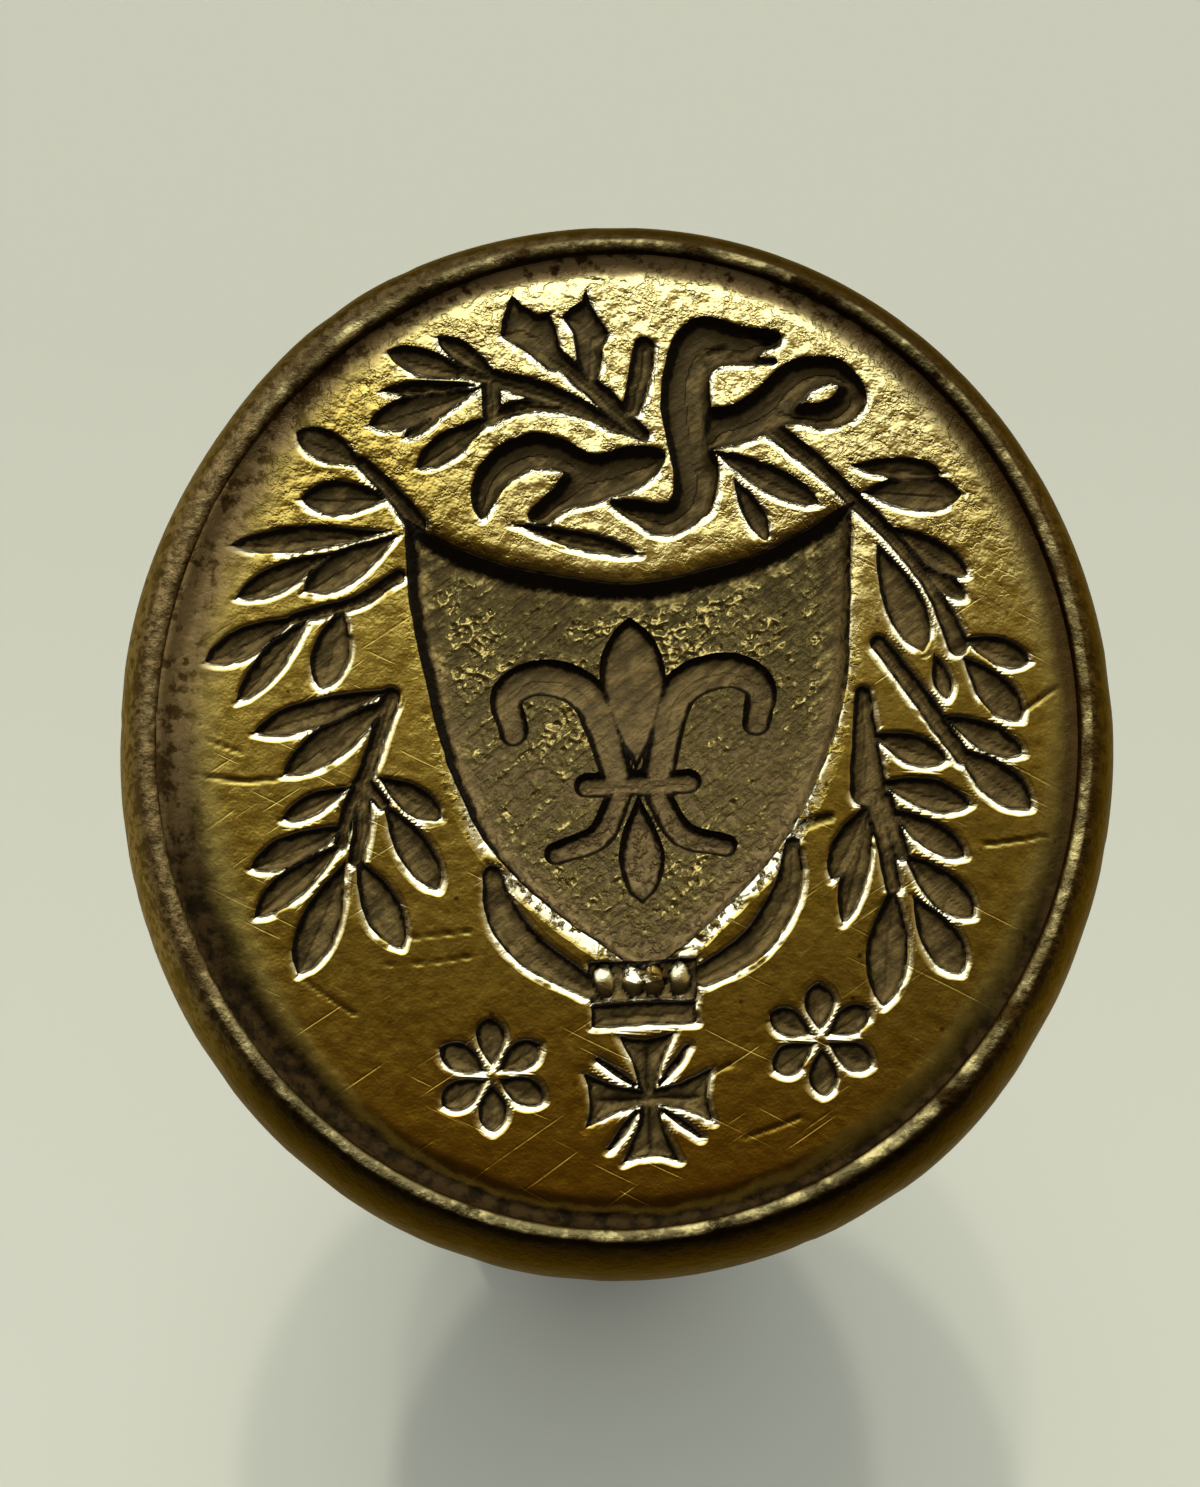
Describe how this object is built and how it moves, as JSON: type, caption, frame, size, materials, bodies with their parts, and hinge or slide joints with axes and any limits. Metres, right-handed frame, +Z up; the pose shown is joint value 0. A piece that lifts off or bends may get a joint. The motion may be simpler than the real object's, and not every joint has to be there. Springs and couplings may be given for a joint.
{
  "type": "wax seal stamp",
  "caption": "Desk seal for sealing wax: an oval engraved brass matrix in a rolled collet that unscrews from a turned wooden handle with a brass ferrule and pommel.",
  "frame": {"origin": "middle of the pommel's flat end, on the surface that the seal stands on", "axes": "+Z up along the handle towards the engraved face, +Y to the top of the engraved face along the oval's long axis, +X to its right"},
  "size_m": [0.024, 0.0258, 0.064],
  "materials": {
    "engraved_brass": "worn gold-brown brass with dark matt cuts",
    "worn_brass": "dark brown patina rubbed bright along the crest",
    "turned_brass": "aged satin brass with turning lines",
    "steel": "turned, slightly oiled",
    "hardwood": "dark polished rosewood",
    "leather": "pressed brown leather",
    "setting_cement": "dark resin cement"
  },
  "bodies": {
    "handle": {"tang_rod": "steel", "ferrule": "turned_brass", "ferrule_pins": "turned_brass", "grip": "hardwood", "pommel_washer": "turned_brass", "pommel": "turned_brass"},
    "washer": {"neck_washer": "leather"},
    "head": {"collet": "worn_brass", "setting_cement": "setting_cement", "matrix_plate": "engraved_brass"}
  },
  "joints": [
    {"name": "head_turn", "type": "hinge", "parent": "handle", "child": "washer", "pos_m": [0, 0, 0.0438], "axis": [0, 0, 1], "range_deg": [0, 2070]},
    {"name": "head_rise", "type": "slide", "parent": "washer", "child": "head", "axis": [0, 0, 1], "range_m": [0, 0.0046]}
  ],
  "couplings": [
    {"joint": "head_turn", "follows": "head_rise", "rad_per_m": 7854}
  ]
}
